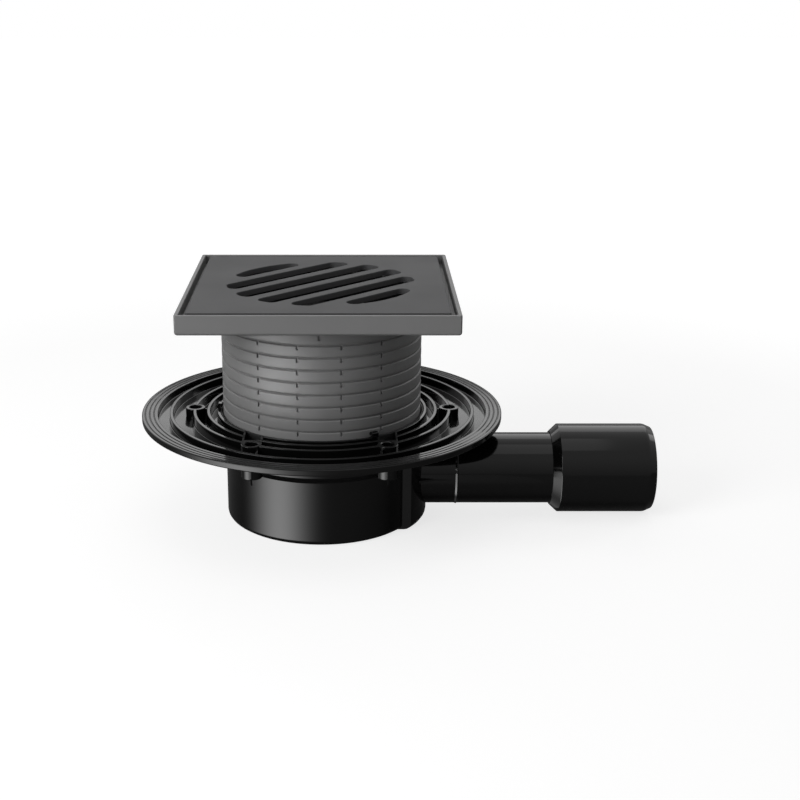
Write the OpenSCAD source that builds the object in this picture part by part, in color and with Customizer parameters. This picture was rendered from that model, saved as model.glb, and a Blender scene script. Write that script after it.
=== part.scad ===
// Floor gully trap with a square slotted grate, a height-adjustable riser, a ribbed sealing
// flange and a horizontal outlet. Millimetres, +Z up. The origin is on the riser's axis, at the
// underside of the bowl, and the outlet runs along +X.

/* [Grate] */
// Side of the square grate plate
grate_side = 134; // [110:1:160]
// Thickness of the grate's slotted plate
grate_plate = 3; // [2:0.5:5]
// Overall height of the grate, from the foot of its skirt to its face
grate_h = 5.5; // [5.5:0.5:9]
// Thickness of the skirt round the grate's edge
grate_skirt = 2.4; // [1.5:0.1:4]
// Corner radius of the grate plate
grate_corner = 1.2; // [0.5:0.1:6]
// Number of slots
slot_count = 6; // [3:1:6]
// Width of a slot
slot_w = 11.6; // [6:0.1:13]
// Distance from one slot to the next
slot_pitch = 18.2; // [15.5:0.1:18.6]
// Radius of the circle that the slots fill
slot_circle_r = 51.5; // [50.5:0.1:54]
// Corner radius at the ends of a slot
slot_corner = 4.1; // [0.5:0.1:4.2]
// Direction of the slots, from the X axis
slot_angle = 45; // [0:5:90]

/* [Frame] */
// Gap round the grate
frame_gap = 3.2; // [1:0.1:6]
// Thickness of the frame's upstand
frame_wall = 2; // [1.5:0.1:4]
// Thickness of the tray floor that the grate stands on
tray_t = 2; // [1.5:0.1:4]
// How far the frame's skirt hangs below the tray
frame_drop = 3; // [2.5:0.1:6]
// Rounding of the frame's lower edges
frame_round = 1.6; // [0.8:0.1:2]
// Length of the neck that plugs into the riser
frame_neck_l = 15; // [8:0.5:30]
// Wall of the frame's neck
frame_neck_wall = 2.4; // [1.5:0.1:4]
// Stiffening ribs under the tray
frame_rib_count = 16; // [8:4:24]
// Thickness of a stiffening rib
frame_rib_t = 1.6; // [1:0.1:3]

/* [Riser] */
// Largest outside diameter of the riser
riser_d = 110.4; // [106:0.2:112]
// Wall of the riser at its thinnest
riser_wall = 2.4; // [2:0.1:4]
// Length of the riser
riser_l = 78.3; // [50:0.1:120]
// Height of one barrel-shaped band between two cutting lines
band_pitch = 6.75; // [5:0.25:10]
// How far a band bulges beyond its own edges
band_bulge = 0.3; // [0.1:0.05:0.5]
// Depth of the groove at a cutting line, below the band's edges
groove_deep = 0.4; // [0.2:0.05:0.6]
// Width of the groove at a cutting line
groove_w = 0.9; // [0.5:0.1:1.5]
// Distance from the riser's top to its first cutting line
band_first = 6.35; // [5.5:0.05:10]
// Notches under a cutting line, on the front and again on the back
notch_count = 4; // [2:1:4]
// Angle from one notch to the next
notch_step = 24; // [16:1:30]
// Width of a notch
notch_w = 1.2; // [0.8:0.1:3]
// Height of a notch
notch_h = 2.2; // [1:0.1:3]
// Height of a notch under the first cutting line
first_notch_h = 3.7; // [1:0.1:4.5]
// Depth of a notch, from a band's crest
notch_deep = 1; // [0.7:0.1:1.4]
// Height of the riser's foot above its lowest setting, as it stands here
riser_lift = 6.9; // [5:0.1:9]

/* [Flange] */
// Height of the flange's ribs and lip above the underside of the bowl
flange_z = 61.5; // [60:0.5:80]
// Outside diameter of the flange
flange_d = 200.6; // [196:0.2:220]
// Width of the grooved lip
lip_w = 8.8; // [7:0.1:12]
// Thickness of the lip
lip_t = 3.5; // [3:0.1:5]
// Grooves in the lip
lip_groove_count = 3; // [1:1:4]
// Depth of the channels between the ribs, at the bosses
channel_depth = 5.5; // [4:0.1:7]
// Fall of the flange floor from the lip towards the neck, in degrees
floor_fall = 4; // [1:0.5:6]
// Thickness of the flange floor
flange_floor = 1.8; // [1.5:0.1:3]
// Thickness of the upright wall inside the lip
flange_wall = 1.5; // [1.2:0.1:3]
// Mean radius of the rib next to the neck
inner_rib_r = 63.5; // [62.5:0.1:64.5]
// Mean radius of the rib that carries the bosses
boss_rib_r = 71.1; // [69:0.1:74]
// Mean radius of the outer rib
outer_rib_r = 84; // [80:0.1:88]
// Thickness of an upright rib
rib_t = 1.9; // [1.2:0.1:2.4]
// Diameter of a screw boss
boss_d = 11; // [9:0.1:12]
// Diameter of the screw hole in a boss
boss_hole_d = 6.8; // [3:0.1:7.5]
// Length of a boss
boss_l = 18.5; // [12:0.5:20]
// Thickness of the closed end of a boss
boss_floor = 2.5; // [1.5:0.1:4]
// Thickness of the pocket walls, webs and gussets
web_t = 1.2; // [1:0.1:2]

/* [Neck] */
// Gap between the riser and the neck that guides it
neck_gap = 0.5; // [0.4:0.1:1]
// Wall of the neck
neck_wall = 2.4; // [2:0.1:4]
// Width of the rebate that holds the riser's seal
rebate_w = 1.3; // [0.8:0.1:1.4]
// Height of the seal's retaining hooks above the neck's rim
hook_h = 2.6; // [1.5:0.1:4]
// Width of a retaining hook
hook_w = 4; // [2:0.1:6]

/* [Bowl] */
// Outside diameter of the bowl
bowl_d = 108.2; // [104:0.2:110]
// Wall of the bowl and the outlet chamber
bowl_wall = 2.5; // [2:0.1:3.5]
// Rounding of the bowl's lower edge
bowl_round = 3; // [1:0.1:4]
// Height at which the bowl flares out to the neck
flare_z = 36.4; // [30:0.1:38]
// How far the outlet chamber bulges beyond the bowl
chamber_bulge = 4.8; // [3:0.1:8]
// Width of the outlet chamber
chamber_w = 61.2; // [50:0.2:70]

/* [Outlet] */
// Outside diameter of the outlet pipe
pipe_d = 40; // [36:0.5:41]
// Wall of the outlet pipe
pipe_wall = 2; // [1.5:0.1:3]
// Height of the outlet axis
pipe_z = 25.2; // [25.2:0.1:28]
// End of the outlet pipe, from the riser's axis
pipe_end = 166; // [150:1:220]
// Place of the moulded bead round the pipe, from the riser's axis
bead_x = 75.6; // [66:0.2:90]
// Width of the bead
bead_w = 0.9; // [0.5:0.1:3]
// Outside diameter of the reducer
reducer_d = 50; // [48:0.5:50]
// Length of the reducer
reducer_l = 57.2; // [50:0.2:80]
// How far the pipe enters the reducer
reducer_grip = 37.2; // [25:0.2:42]
// Length of the reducer's tapered shoulder
reducer_cone_l = 4.4; // [3:0.1:8]
// Wall of the reducer past the pipe
reducer_wall = 3; // [2:0.1:3.5]
// Length of the bevel at the reducer's end
reducer_bevel = 4.2; // [1:0.1:6]
// Width of the lip seal inside the reducer
seal_w = 5; // [4:0.1:8]
// Distance from the reducer's mouth to its seal
seal_inset = 8; // [5:0.1:12]

/* [Trap insert] */
// Height of the shelf that carries the insert
shelf_z = 34; // [33:0.5:35]
// Thickness of the shelf
shelf_t = 3; // [2.5:0.1:4]
// Width of the shelf
shelf_w = 4.6; // [4:0.1:6]
// Outside diameter of the dip tube
dip_d = 46; // [38:0.5:50]
// Wall of the dip tube and its funnel
dip_wall = 2; // [1.5:0.1:2.5]
// Gap between the dip tube and the floor of the cup
dip_clear = 5; // [4:0.5:8]
// Outside diameter of the trap cup
cup_d = 74; // [68:0.5:78]
// Wall of the trap cup
cup_wall = 2; // [1.5:0.1:3]
// Height of the trap cup's rim
cup_rim_z = 24; // [22:0.5:26]
// Height of the cup's feet
foot_h = 2; // [1:0.1:3]
// Diameter of a foot under the cup
cup_foot_d = 8; // [5:0.5:10]
// How far the middle of a foot stands in from the cup's wall
foot_inset = 12; // [8:0.5:16]
// Thickness of the insert's sealing ring
ring_d = 2; // [1.6:0.1:2.2]

/* [Hidden] */
$fn = 96;
round_fn = 180;
eps = 0.01;

black = [0.05, 0.05, 0.05];
grey = [0.42, 0.42, 0.42];
graphite = [0.30, 0.30, 0.31];
rubber = [0.09, 0.09, 0.09];

// Clearances
fit_gap = 0.1;
seat_gap = 0.2;
turn_gap = 0.3;
slide_gap = 0.15;

// Neck and flange
riser_r = riser_d / 2;
flange_r = flange_d / 2;
lip_in = flange_r - lip_w;
dish_r = lip_in + flange_wall;
neck_in = riser_r + neck_gap;
neck_out = neck_in + neck_wall;
rebate_r = neck_in + rebate_w;
rim_out = rebate_r + 1.6;
boss_r = boss_rib_r;
boss_z = flange_z - boss_l;
boss_x = boss_r * cos(60);
boss_y = boss_r * sin(60);
pocket_half = boss_d / 2 - web_t / 2 - 0.1;
pocket_end_y = boss_y - boss_d / 2 - 1.5;
web_x = boss_x - 0.3 * boss_d;

// Bowl and outlet chamber
bowl_r = bowl_d / 2;
bowl_in = bowl_r - bowl_wall;
flare_in_z = flare_z + bowl_wall * tan(22.5);
stop_z = flare_in_z + neck_in - bowl_in;
chamber_r = bowl_r + chamber_bulge;
pipe_r = pipe_d / 2;
pipe_in = pipe_r - pipe_wall;
reducer_r = reducer_d / 2;
reducer_x = pipe_end - reducer_grip;
reducer_end = reducer_x + reducer_l;
socket_r = pipe_r + slide_gap;
seal_x = reducer_x + seal_inset;
seal_r = pipe_r + 2.2;

// Riser and frame, from the socket upwards
groove_r = riser_r - band_bulge - groove_deep;
riser_in = groove_r - riser_wall;
foot_r = groove_r - 0.4;
riser_low = flare_in_z + foot_r - bowl_in + seat_gap;
riser_z = riser_low + riser_lift;
riser_top = riser_z + riser_l;
line_count = floor((riser_l - band_first - 3) / band_pitch) + 1;
tray_under = riser_top + seat_gap;
tray_z = tray_under + tray_t;
top_z = tray_z + grate_h;
frame_z = tray_under - frame_drop;
frame_side = grate_side + 2 * (frame_gap + frame_wall);
frame_inside = frame_side - 2 * frame_wall;
frame_neck_r = riser_in - turn_gap;
frame_throat_r = frame_neck_r - frame_neck_wall;
throat_mouth_r = slot_circle_r + 1;
slot_round = min(slot_corner, slot_w / 2 - 0.1);
collar_in = riser_r + 0.5;
collar_t = 2;

// Trap insert
shelf_in = bowl_in - shelf_w;
insert_r = bowl_in - 0.4;
skirt_r = shelf_in - ring_d - fit_gap;
skirt_t = 2;
skirt_z = shelf_z - shelf_t - 1;
dip_r = dip_d / 2;
cup_r = cup_d / 2;
cup_in = cup_r - cup_wall;
cup_z = bowl_wall + foot_h;
cup_floor_z = cup_z + cup_wall;
dip_z = cup_floor_z + dip_clear;
funnel_z = shelf_z - shelf_t;
funnel_r = skirt_r - skirt_t;

// Points of an arc about [x, y], from angle a to angle b in n steps
function arc(x, y, r, a, b, n) =
    [for (i = [0 : n]) let (t = a + (b - a) * i / n) [x + r * cos(t), y + r * sin(t)]];

// Height of the sloping flange floor at radius r
function floor_at(r) = flange_z - channel_depth + (r - boss_r) * tan(floor_fall);

// Floor of the seal's rebate and of the pockets
rebate_z = floor_at(rim_out) + 0.4;

// A square centred on the axis, with round corners
module rounded_square(side, r) {
    for (a = [0, 90])
        rotate(a) square([side, side - 2 * r], center = true);
    for (x = [-1, 1], y = [-1, 1])
        translate([x, y] * (side / 2 - r)) circle(r, $fn = 32);
}

// A thin plate in the plane at angle a that holds the axis, drawn as [radius, height] points
module radial_plate(a, t, points) {
    rotate(a) rotate([90, 0, 0])
        translate([0, 0, -t / 2]) linear_extrude(t) polygon(points);
}

// A thin plate parallel to the plane of Y and Z at x, drawn as [y, height] points
module cross_plate(x, t, points) {
    translate([x - t / 2, 0, 0]) rotate([90, 0, 90])
        linear_extrude(t) polygon(points);
}

// ---------------------------------------------------------------- grate

// Outline of one slot: the strip lo..hi across the slots, cut off by the slot circle and
// rounded at its four corners
function slot_outline(lo, hi) =
    let (inner_r = slot_circle_r - slot_round,
         u0 = max(lo + slot_round, -inner_r + eps),
         u1 = min(hi - slot_round, inner_r - eps),
         t0 = sqrt(inner_r * inner_r - u0 * u0),
         t1 = sqrt(inner_r * inner_r - u1 * u1),
         a0 = atan2(t0, u0),
         a1 = atan2(t1, u1),
         upper = concat(arc(u1, t1, slot_round, 0, a1, 5),
                        arc(0, 0, slot_circle_r, a1, a0, 6),
                        arc(u0, t0, slot_round, a0, 180, 5)))
    concat(upper, [for (i = [len(upper) - 1 : -1 : 0]) [upper[i][0], -upper[i][1]]]);

module slots() {
    rotate(slot_angle - 90)
        for (i = [0 : slot_count - 1])
            let (middle = (i - (slot_count - 1) / 2) * slot_pitch)
                polygon(slot_outline(middle - slot_w / 2, middle + slot_w / 2));
}

module grate() {
    color(graphite) {
        translate([0, 0, top_z - grate_plate])
            linear_extrude(grate_plate)
                difference() {
                    rounded_square(grate_side, grate_corner);
                    slots();
                }
        translate([0, 0, tray_z])
            linear_extrude(grate_h - grate_plate)
                difference() {
                    rounded_square(grate_side, grate_corner);
                    square(grate_side - 2 * grate_skirt, center = true);
                }
    }
}

// ---------------------------------------------------------------- frame

// The frame seen from one side: upright walls with rounded lower edges
module frame_profile() {
    h = top_z - frame_z;
    translate([-frame_side / 2, frame_z + frame_round])
        square([frame_side, h - frame_round]);
    translate([-frame_side / 2 + frame_round, frame_z])
        square([frame_side - 2 * frame_round, h]);
    for (x = [-1, 1])
        translate([x * (frame_side / 2 - frame_round), frame_z + frame_round])
            circle(frame_round, $fn = 48);
}

module frame_block() {
    intersection() {
        translate([0, frame_side, 0]) rotate([90, 0, 0])
            linear_extrude(2 * frame_side) frame_profile();
        rotate(90) translate([0, frame_side, 0]) rotate([90, 0, 0])
            linear_extrude(2 * frame_side) frame_profile();
        translate([0, 0, frame_z - 1])
            linear_extrude(top_z - frame_z + 2) rounded_square(frame_side, 1);
    }
}

// Collar round the riser's top, throat and the neck that plugs into the riser
module frame_neck() {
    rotate_extrude($fn = round_fn)
        polygon([[throat_mouth_r + 1, tray_under], [throat_mouth_r + 1, tray_z],
                 [throat_mouth_r, tray_z], [frame_throat_r, tray_under - 1.5],
                 [frame_throat_r, tray_under - frame_neck_l],
                 [frame_neck_r - 0.8, tray_under - frame_neck_l],
                 [frame_neck_r, tray_under - frame_neck_l + 2], [frame_neck_r, tray_under]]);
    rotate_extrude($fn = round_fn)
        translate([collar_in, frame_z + 0.6])
            square([collar_t, frame_drop - 0.6 + eps]);
}

// Radial ribs under the tray, from the collar to the upstand
module frame_ribs() {
    start = collar_in + collar_t / 2;
    for (i = [0 : frame_rib_count - 1])
        let (a = (i + 0.5) * 360 / frame_rib_count,
             reach = (frame_inside / 2 + 0.5) / max(abs(cos(a)), abs(sin(a))))
            rotate(a)
                translate([start, -frame_rib_t / 2, frame_z + 1])
                    cube([reach - start - frame_rib_t / 2, frame_rib_t, frame_drop - 1 + eps]);
}

module frame() {
    color(grey) {
        difference() {
            frame_block();
            translate([-frame_inside / 2, -frame_inside / 2, tray_z])
                cube([frame_inside, frame_inside, grate_h + 1]);
            translate([-frame_inside / 2, -frame_inside / 2, frame_z - 1])
                cube([frame_inside, frame_inside, frame_drop + 1]);
            translate([0, 0, frame_z - 1])
                cylinder(r = throat_mouth_r, h = top_z - frame_z, $fn = round_fn);
        }
        frame_neck();
        frame_ribs();
    }
}

// ---------------------------------------------------------------- riser

// Height of cutting line i, counted from the top
function line_z(i) = riser_top - band_first - i * band_pitch;

// The V groove at height z, from its lower edge to its upper edge
function groove(z) =
    [[riser_r - band_bulge, z - groove_w / 2], [groove_r, z],
     [riser_r - band_bulge, z + groove_w / 2]];

// The bulge of the band between heights z0 and z1, highest a little above its middle
function bulge(z0, z1) =
    [for (t = [0.3, 0.5, 0.68, 0.86])
        [riser_r - band_bulge * pow(abs(2 * pow(t, 1.4) - 1), 2), z0 + (z1 - z0) * t]];

function riser_outline() =
    concat([[riser_in, riser_z], [foot_r, riser_z], [riser_r - band_bulge, riser_z + 1.2]],
           [for (i = [line_count - 1 : -1 : 0])
               let (z = line_z(i)) each (i == 0 ? groove(z)
                   : concat(groove(z), bulge(z, z + band_pitch)))],
           [[riser_r, riser_top - band_first / 2], [riser_r - band_bulge, riser_top - 0.6],
            [riser_r - band_bulge - 0.4, riser_top], [riser_in, riser_top]]);

// Notches hang from the cutting lines on the front and on the back. Under the first line
// they are one fewer, half a step round, and longer.
module notches() {
    for (i = [0 : line_count - 1], turn = [-90, 90])
        let (n = i == 0 ? notch_count - 1 : notch_count,
             h = i == 0 ? first_notch_h : notch_h)
            for (k = [0 : n - 1])
                rotate(turn + (k - (n - 1) / 2) * notch_step)
                    translate([riser_r - notch_deep, -notch_w / 2, line_z(i) - h])
                        cube([notch_deep + 1, notch_w, h + 0.1]);
}

module riser() {
    color(grey)
        difference() {
            rotate_extrude($fn = round_fn) polygon(riser_outline());
            notches();
        }
}

// ---------------------------------------------------------------- body

side_angles = [0, 180];
boss_angles = [0, 60, 120, 180, 240, 300];
hook_angles = [60, 180, 300];

// Fine V grooves across the lip, outermost first
function lip_grooves() =
    let (half = 0.45, deep = 0.5, pitch = lip_w / (lip_groove_count + 0.7))
    [for (i = [0 : lip_groove_count - 1])
        let (r = flange_r - (i + 0.8) * pitch)
        each [[r + half, flange_z], [r, flange_z - deep], [r - half, flange_z]]];

// Cross-section of the bowl, flare, neck and flange before the inside is cleared
function body_outline() =
    concat([[0, 0]],
           arc(bowl_r - bowl_round, bowl_round, bowl_round, -90, 0, 5),
           [[bowl_r, flare_z], [neck_out, flare_z + neck_out - bowl_r],
            [neck_out, floor_at(neck_out) - flange_floor],
            [dish_r, floor_at(dish_r) - flange_floor], [dish_r, flange_z - lip_t],
            [flange_r - 0.4, flange_z - lip_t], [flange_r, flange_z - lip_t + 0.4],
            [flange_r, flange_z - 0.4], [flange_r - 0.4, flange_z]],
           lip_grooves(),
           [[lip_in + 0.2, flange_z], [lip_in, flange_z - 0.2], [lip_in, floor_at(lip_in)],
            [rim_out, floor_at(rim_out)], [rim_out, flange_z - 0.2],
            [rim_out - 0.2, flange_z], [rebate_r, flange_z], [rebate_r, rebate_z],
            [0, rebate_z]]);

// Cross-section of the space inside the bowl and the neck
function inside_outline() =
    concat([[0, bowl_wall]],
           arc(bowl_in - 1.5, bowl_wall + 1.5, 1.5, -90, 0, 3),
           [[bowl_in, flare_in_z], [neck_in, stop_z], [neck_in, rebate_z + 1],
            [0, rebate_z + 1]]);

// An upright rib with eased top edges
module flange_rib(r) {
    foot = floor_at(r) - flange_floor / 2;
    rotate_extrude($fn = round_fn)
        polygon([[r - rib_t / 2, foot], [r + rib_t / 2, foot],
                 [r + rib_t / 2, flange_z - 0.25], [r + rib_t / 2 - 0.25, flange_z],
                 [r - rib_t / 2 + 0.25, flange_z], [r - rib_t / 2, flange_z - 0.25]]);
}

// Clears the inner rib and the neck's rim from the neck to each of the four pocket bosses.
// All that belongs to these bosses runs along Y, and each is half a turn from another.
module pocket_cuts() {
    for (turn = [0, 180], x = [-boss_x, boss_x])
        rotate(turn)
            translate([x - pocket_half, boss_y / 2, rebate_z])
                cube([2 * pocket_half, pocket_end_y + 0.3 - boss_y / 2, channel_depth + 2]);
}

// Where a pocket wall that starts at x leaves the neck's rim
function wall_start(x) = sqrt(pow(rebate_r + 0.4, 2) - x * x);

// Outline of one pocket from above: two walls and the solid block next to the boss, towards
// positive X (side = 1) or negative X (side = -1)
function pocket_outline(side) =
    let (in = pocket_half - web_t / 2, out = pocket_half + web_t / 2,
         low_y = wall_start(boss_x - out), high_y = wall_start(boss_x + in))
    [for (p = [[boss_x - out, low_y], [boss_x - in, low_y], [boss_x - in, pocket_end_y],
               [boss_x + in, pocket_end_y], [boss_x + in, high_y], [boss_x + out, high_y],
               [boss_x + out, boss_y], [boss_x - out, boss_y]])
        [side * p[0], p[1]]];

// The four pockets, and one web inside each of the two side bosses
module pocket_walls() {
    foot = floor_at(rebate_r) - flange_floor / 2;
    for (turn = [0, 180], side = [-1, 1])
        rotate(turn)
            translate([0, 0, foot])
                linear_extrude(flange_z - 0.3 - foot) polygon(pocket_outline(side));
    for (a = side_angles)
        rotate(a)
            translate([inner_rib_r, -web_t / 2, foot])
                cube([boss_r - inner_rib_r, web_t, flange_z - 1 - foot]);
}

// A web from each pocket boss out to the outer rib, below the level of the ribs
module boss_webs() {
    end_y = sqrt(outer_rib_r * outer_rib_r - web_x * web_x);
    for (turn = [0, 180], x = [-web_x, web_x])
        rotate(turn)
            cross_plate(x, web_t,
                        [[boss_y, floor_at(boss_r) - 1], [end_y, floor_at(outer_rib_r) - 0.5],
                         [end_y, flange_z - 2.6], [boss_y, flange_z - 0.8]]);
}

// Outline of a fin under a boss whose centre is r away: its tip reaches below the boss
function fin_outline(r) =
    [[r, boss_z + 2], [r + 1, boss_z], [r + 2.5, boss_z - 4], [r + boss_d / 2 - 1, boss_z - 3],
     [r + boss_d / 2 + 0.6, boss_z + 1], [r + boss_d / 2 + 0.6, floor_at(boss_r)],
     [r, floor_at(boss_r) - 0.5]];

// Under the flange: a fin down the outer side of each boss
module boss_fins() {
    for (a = side_angles)
        radial_plate(a, web_t, fin_outline(boss_r));
    for (turn = [0, 180], x = [-boss_x, boss_x])
        rotate(turn)
            cross_plate(x, web_t, fin_outline(boss_y));
}

module bosses() {
    for (a = boss_angles)
        rotate(a)
            translate([boss_r, 0, boss_z]) cylinder(d = boss_d, h = boss_l, $fn = 48);
}

module boss_holes() {
    for (a = boss_angles)
        rotate(a)
            translate([boss_r, 0, boss_z + boss_floor])
                cylinder(d = boss_hole_d, h = boss_l, $fn = 48);
}

// Hooks that stand on the neck's rim and reach over the seal
module hooks() {
    in = riser_r + 0.5;
    for (a = hook_angles)
        radial_plate(a, hook_w,
                     [[rebate_r + 0.3, floor_at(rim_out) - 1], [rim_out, floor_at(rim_out) - 1],
                      [rim_out, flange_z + hook_h - 0.6], [rim_out - 0.6, flange_z + hook_h],
                      [in + 0.5, flange_z + hook_h], [in, flange_z + hook_h - 0.8],
                      [in, flange_z + 0.6], [rebate_r + 0.3, flange_z + 0.6]]);
}

// A closed solid of revolution with a rounded lower edge
module bowl_solid(r, z0, z1, edge_r) {
    rotate_extrude($fn = round_fn)
        polygon(concat([[0, z0]], arc(r - edge_r, z0 + edge_r, edge_r, -90, 0, 5),
                       [[r, z1], [0, z1]]));
}

// The bowl's own round, set further along X and kept only towards the outlet
module chamber_outside() {
    intersection() {
        translate([chamber_bulge, 0, 0])
            bowl_solid(bowl_r, 0, floor_at(neck_out) - flange_floor / 2, bowl_round);
        translate([bowl_r / 2, -chamber_w / 2, -1])
            cube([bowl_r, chamber_w, flange_z]);
    }
}

// The chamber opens into the bowl below the shelf
module chamber_inside() {
    width = chamber_w - 2 * bowl_wall;
    intersection() {
        translate([chamber_bulge, 0, 0])
            bowl_solid(bowl_in, bowl_wall, shelf_z - shelf_t, 1.5);
        translate([bowl_r / 2, -width / 2, -1]) cube([bowl_r, width, flange_z]);
    }
}

module pipe_outside() {
    translate([bowl_r, 0, pipe_z]) rotate([0, 90, 0])
        cylinder(r = pipe_r, h = pipe_end - bowl_r, $fn = round_fn);
    translate([bead_x - bead_w / 2, 0, pipe_z]) rotate([0, 90, 0])
        cylinder(r = pipe_r + 0.35, h = bead_w, $fn = round_fn);
}

module pipe_inside() {
    translate([bowl_r + 0.5, 0, pipe_z]) rotate([0, 90, 0])
        cylinder(r = pipe_in, h = pipe_end, $fn = round_fn);
}

// A level web on each side of the pipe's root, and one upright below it
module pipe_webs() {
    for (side = [-1, 1])
        translate([0, 0, pipe_z - web_t / 2])
            linear_extrude(web_t)
                polygon([[chamber_r - 5, side * (pipe_r - 2)],
                         [chamber_r - 5, side * (pipe_r + 3.2)],
                         [chamber_r - 3, side * (pipe_r + 2.6)],
                         [chamber_r + 5, side * (pipe_r - 0.2)],
                         [chamber_r + 5, side * (pipe_r - 2)]]);
    radial_plate(0, web_t,
                 [[chamber_r - 1, pipe_z - pipe_r - 1.6], [chamber_r + 3.6, pipe_z - pipe_r + 0.3],
                  [chamber_r + 3.6, pipe_z - pipe_r + 1], [chamber_r - 1, pipe_z - pipe_r + 1]]);
}

// The ledge round the bowl that the trap insert sits in
module shelf() {
    rotate_extrude($fn = round_fn)
        translate([shelf_in, shelf_z - shelf_t]) square([shelf_w + 1, shelf_t]);
}

// Bowl, chamber, pipe and flange, hollowed, without what stands on the flange
module body_shell() {
    difference() {
        union() {
            rotate_extrude($fn = round_fn) polygon(body_outline());
            chamber_outside();
            pipe_outside();
            pipe_webs();
            flange_rib(inner_rib_r);
        }
        rotate_extrude($fn = round_fn) polygon(inside_outline());
        chamber_inside();
        pipe_inside();
        pocket_cuts();
    }
}

module body() {
    color(black)
        difference() {
            union() {
                body_shell();
                shelf();
                flange_rib(boss_rib_r);
                flange_rib(outer_rib_r);
                pocket_walls();
                boss_webs();
                bosses();
                boss_fins();
                hooks();
            }
            boss_holes();
        }
}

// ---------------------------------------------------------------- seals

// Rubber ring in the neck's rebate, with two lips that wipe the riser
module riser_seal() {
    out = rebate_r - fit_gap;
    in = neck_in + 0.2;
    wipe = riser_r + turn_gap;
    low = rebate_z;
    high = flange_z - 0.5;
    color(rubber)
        rotate_extrude($fn = round_fn)
            polygon([[in, low], [out, low], [out, high - 0.3], [out - 0.3, high],
                     [in, high], [wipe, high - 1.1], [in + 0.2, high - 1.6],
                     [in + 0.2, high - 3.1], [wipe, high - 4], [in, high - 4.5]]);
}

module reducer_seal() {
    color(rubber)
        translate([seal_x, 0, pipe_z]) rotate([0, 90, 0])
            difference() {
                cylinder(r = seal_r - fit_gap, h = seal_w);
                translate([0, 0, -1]) cylinder(r = pipe_r, h = seal_w + 2);
            }
}

module insert_seal() {
    color(rubber)
        rotate_extrude($fn = round_fn)
            translate([skirt_r + ring_d / 2, shelf_z - shelf_t / 2]) circle(d = ring_d, $fn = 32);
}

// ---------------------------------------------------------------- reducer

// Sleeve on the pipe's end that brings the outlet up to the next pipe size
module reducer() {
    nose_r = pipe_r + 0.9;
    bevel = reducer_bevel;
    bevel_r = bevel * 0.6;
    stop_t = 2;
    bore_r = reducer_r - reducer_wall;
    color(black)
        translate([0, 0, pipe_z]) rotate([0, 90, 0])
            rotate_extrude($fn = round_fn)
                polygon(concat(
                    [[socket_r, reducer_x], [nose_r, reducer_x],
                     [reducer_r, reducer_x + reducer_cone_l]],
                    arc(reducer_r - bevel_r, reducer_end - bevel, bevel_r, 0, 30, 2),
                    [[reducer_r - bevel * 0.42, reducer_end - 0.4],
                     [reducer_r - bevel * 0.52, reducer_end], [bore_r, reducer_end],
                     [bore_r, pipe_end + stop_t], [pipe_in, pipe_end + stop_t],
                     [pipe_in, pipe_end], [socket_r, pipe_end], [socket_r, seal_x + seal_w],
                     [seal_r, seal_x + seal_w], [seal_r, seal_x], [socket_r, seal_x]]));
}

// ---------------------------------------------------------------- trap insert

// Funnel, dip tube and sealing skirt, moulded as one
module dip_tube() {
    rim_z = shelf_z + dip_wall;
    color(black)
        rotate_extrude($fn = round_fn)
            polygon([[dip_r - dip_wall, dip_z], [dip_r, dip_z], [dip_r, funnel_z - dip_wall],
                     [funnel_r, rim_z - 1.3 * dip_wall], [funnel_r, skirt_z],
                     [skirt_r + 0.6, skirt_z], [skirt_r, funnel_z], [skirt_r, shelf_z],
                     [insert_r, shelf_z], [insert_r, rim_z], [funnel_r, rim_z],
                     [dip_r - dip_wall, funnel_z]]);
}

module trap_cup() {
    color(black) {
        rotate_extrude($fn = round_fn)
            polygon(concat([[0, cup_z]], arc(cup_r - 3, cup_z + 3, 3, -90, 0, 4),
                           [[cup_r, cup_rim_z], [cup_in, cup_rim_z]],
                           arc(cup_in - 1.5, cup_floor_z + 1.5, 1.5, 0, -90, 3),
                           [[0, cup_floor_z]]));
        for (a = [90, 210, 330])
            rotate(a)
                translate([cup_r - foot_inset, 0, bowl_wall])
                    cylinder(d = cup_foot_d, h = foot_h + cup_wall / 2, $fn = 48);
    }
}

// ---------------------------------------------------------------- all

body();
riser_seal();
riser();
frame();
grate();
reducer();
reducer_seal();
dip_tube();
insert_seal();
trap_cup();
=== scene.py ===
"""Dresses a floor gully trap with eased edges and moulded finishes, on a plain stage."""

import math

import bmesh
import bpy
import numpy as np
from bpy.props import FloatProperty, FloatVectorProperty, IntProperty, PointerProperty
from bpy.types import Operator, Panel, PropertyGroup
from mathutils import Matrix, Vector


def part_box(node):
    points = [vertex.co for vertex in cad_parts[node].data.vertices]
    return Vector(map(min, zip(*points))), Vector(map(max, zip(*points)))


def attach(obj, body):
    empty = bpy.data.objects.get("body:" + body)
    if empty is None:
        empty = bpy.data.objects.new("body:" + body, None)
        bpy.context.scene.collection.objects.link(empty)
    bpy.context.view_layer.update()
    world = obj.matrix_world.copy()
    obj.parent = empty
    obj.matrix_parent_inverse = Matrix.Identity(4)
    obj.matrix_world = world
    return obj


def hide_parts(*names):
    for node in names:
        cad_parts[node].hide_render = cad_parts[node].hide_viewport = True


bl_info = {
    "name": "Gully Trap Dresser",
    "version": (1, 0, 0),
    "blender": (4, 5, 0),
    "location": "View3D > Sidebar > Gully",
    "description": "Builds the eased mouldings, finishes and stage of a floor gully trap",
    "category": "Object",
}

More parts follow.
